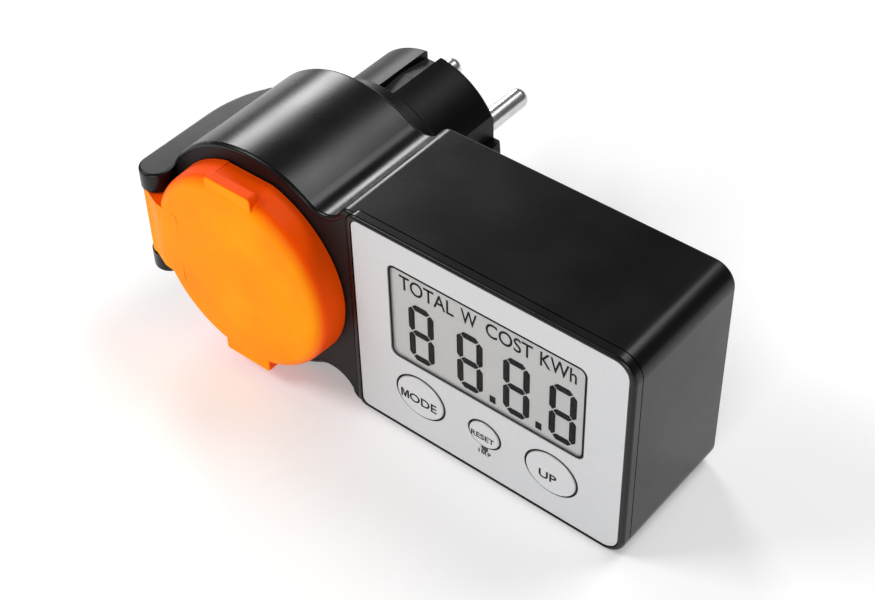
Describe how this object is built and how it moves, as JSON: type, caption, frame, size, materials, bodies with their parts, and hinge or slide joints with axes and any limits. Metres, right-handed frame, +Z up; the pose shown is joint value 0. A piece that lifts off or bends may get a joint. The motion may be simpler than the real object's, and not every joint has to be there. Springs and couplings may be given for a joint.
{
  "type": "plug-in power meter",
  "caption": "Plug-through energy meter: round mains socket with a hinged splash cap in front of an earthed plug, and a display box with buttons beside it.",
  "frame": {"origin": "middle of the plug's end face, half way between the two pins", "axes": "+Y along the pins into the wall, +X from the socket towards the display box, +Z up"},
  "size_m": [0.1215, 0.0847, 0.0535],
  "materials": {
    "black_plastic": "satin",
    "dark_surround": "matt",
    "orange_plastic": "satin",
    "silver_plate": "brushed",
    "silver_plastic": "satin",
    "clear_window": "gloss",
    "display_glass": "gloss",
    "white_plastic": "matt",
    "nickel": "polished",
    "steel": "satin",
    "copper_alloy": "satin",
    "board_green": "satin",
    "black_epoxy": "matt",
    "soft_rubber": "matt",
    "red_lens": "gloss",
    "component_blue": "satin",
    "component_yellow": "satin",
    "label_paper": "matt"
  },
  "bodies": {
    "housing": {"rear_shell": "black_plastic", "socket_surround": "dark_surround", "socket_insert": "black_plastic", "plug_body": "black_plastic", "housing_screws": "steel", "rating_label": "label_paper", "display_bezel": "black_plastic", "faceplate": "silver_plate", "lcd_window": "clear_window", "lcd_panel": "display_glass", "lcd_holder": "white_plastic", "zebra_strips": "soft_rubber", "display_board": "board_green", "pulse_lamp": "red_lens", "controller_chip": "black_epoxy", "crystal": "steel", "backup_battery": "steel", "battery_clip": "steel", "board_header": "black_epoxy", "power_board": "board_green", "board_screws": "steel", "film_capacitor": "component_yellow", "smoothing_capacitor": "component_blue", "varistor": "component_blue", "dropper_resistor": "component_blue", "metering_chip": "black_epoxy", "rectifier": "black_epoxy", "shunt": "copper_alloy", "shutter_guide": "white_plastic", "shutter_spring": "steel", "neutral_contact": "copper_alloy", "live_contact": "copper_alloy", "neutral_pin": "nickel", "live_pin": "nickel", "neutral_link": "copper_alloy", "neutral_tap": "copper_alloy", "load_link": "copper_alloy", "supply_link": "copper_alloy", "earth_rail_upper": "nickel", "earth_rail_lower": "nickel", "earth_bridge": "nickel", "hinge_pin": "steel", "hinge_spring": "steel", "mode_switch": "black_epoxy", "reset_switch": "black_epoxy", "up_switch": "black_epoxy"},
    "cap": {"splash_cap": "orange_plastic", "cap_seal": "soft_rubber"},
    "shutter": {"shutter": "white_plastic"},
    "mode_key": {"mode_button": "silver_plastic", "mode_plunger": "black_epoxy"},
    "reset_key": {"reset_button": "silver_plastic", "reset_plunger": "black_epoxy"},
    "up_key": {"up_button": "silver_plastic", "up_plunger": "black_epoxy"}
  },
  "joints": [
    {"name": "cap_hinge", "type": "hinge", "parent": "housing", "child": "cap", "pos_m": [-0.0259, -0.0596, 0], "axis": [0, 0, -1], "range_deg": [0, 110], "stiffness_Nm_per_rad": 0.0006, "springref_deg": -68.75},
    {"name": "shutter_turn", "type": "hinge", "parent": "housing", "child": "shutter", "pos_m": [0, -0.0365, 0], "axis": [0, 1, 0], "range_deg": [0, 42], "stiffness_Nm_per_rad": 0.0003, "springref_deg": -22.92},
    {"name": "mode_press", "type": "slide", "parent": "housing", "child": "mode_key", "axis": [0, 1, 0], "range_m": [0, 0.0005], "stiffness_N_per_m": 600, "springref_m": -0.0005},
    {"name": "reset_press", "type": "slide", "parent": "housing", "child": "reset_key", "axis": [0, 1, 0], "range_m": [0, 0.0005], "stiffness_N_per_m": 600, "springref_m": -0.0005},
    {"name": "up_press", "type": "slide", "parent": "housing", "child": "up_key", "axis": [0, 1, 0], "range_m": [0, 0.0005], "stiffness_N_per_m": 600, "springref_m": -0.0005}
  ]
}
